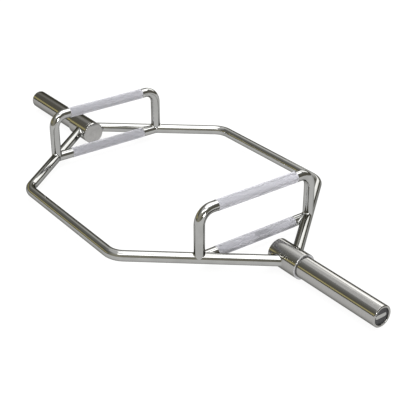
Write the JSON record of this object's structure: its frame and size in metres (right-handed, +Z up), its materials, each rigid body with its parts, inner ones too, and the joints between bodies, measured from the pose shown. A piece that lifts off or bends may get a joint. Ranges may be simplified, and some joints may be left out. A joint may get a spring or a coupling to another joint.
{
  "type": "hex trap bar",
  "caption": "Hexagonal weightlifting bar with raised and lower knurled handles and a plate sleeve that turns on a hub at each end.",
  "frame": {"origin": "midway between the sleeves, at floor level under the hubs' lowest lines", "axes": "+X along the sleeve axis towards the right sleeve, +Y along the handles towards the rear long side, +Z up"},
  "size_m": [1.4232, 0.6334, 0.1592],
  "materials": {
    "frame_chrome": "polished chrome plate on welded steel bar",
    "handle_chrome": "polished chrome plate with knurled grip lengths",
    "sleeve_chrome": "ground and chromed, with fine turning marks",
    "ground_steel": "ground bright steel",
    "spring_steel": "blackened spring steel",
    "bronze": "oil-filled bronze",
    "cap_plastic": "fine-textured black plastic"
  },
  "bodies": {
    "frame": {"front_frame_bar": "frame_chrome", "rear_frame_bar": "frame_chrome", "front_right_hub_weld": "frame_chrome", "rear_right_hub_weld": "frame_chrome", "front_left_hub_weld": "frame_chrome", "rear_left_hub_weld": "frame_chrome", "front_right_foot_weld": "frame_chrome", "rear_right_foot_weld": "frame_chrome", "front_left_foot_weld": "frame_chrome", "rear_left_foot_weld": "frame_chrome", "right_raised_handle": "handle_chrome", "right_lower_handle": "handle_chrome", "right_hub": "frame_chrome", "right_hub_end_disc": "frame_chrome", "right_spindle": "ground_steel", "right_thrust_washer": "ground_steel", "right_retaining_ring": "spring_steel", "left_raised_handle": "handle_chrome", "left_lower_handle": "handle_chrome", "left_hub": "frame_chrome", "left_hub_end_disc": "frame_chrome", "left_spindle": "ground_steel", "left_thrust_washer": "ground_steel", "left_retaining_ring": "spring_steel"},
    "right_sleeve_assembly": {"right_sleeve": "sleeve_chrome", "right_inner_bushing": "bronze", "right_outer_bushing": "bronze", "right_end_cap": "cap_plastic"},
    "left_sleeve_assembly": {"left_sleeve": "sleeve_chrome", "left_inner_bushing": "bronze", "left_outer_bushing": "bronze", "left_end_cap": "cap_plastic"}
  },
  "joints": [
    {"name": "right_sleeve_spin", "type": "hinge", "parent": "frame", "child": "right_sleeve_assembly", "pos_m": [0.59689, 0, 0.03], "axis": [1, 0, 0], "continuous": true},
    {"name": "left_sleeve_spin", "type": "hinge", "parent": "frame", "child": "left_sleeve_assembly", "pos_m": [-0.59689, 0, 0.03], "axis": [-1, 0, 0], "continuous": true}
  ]
}
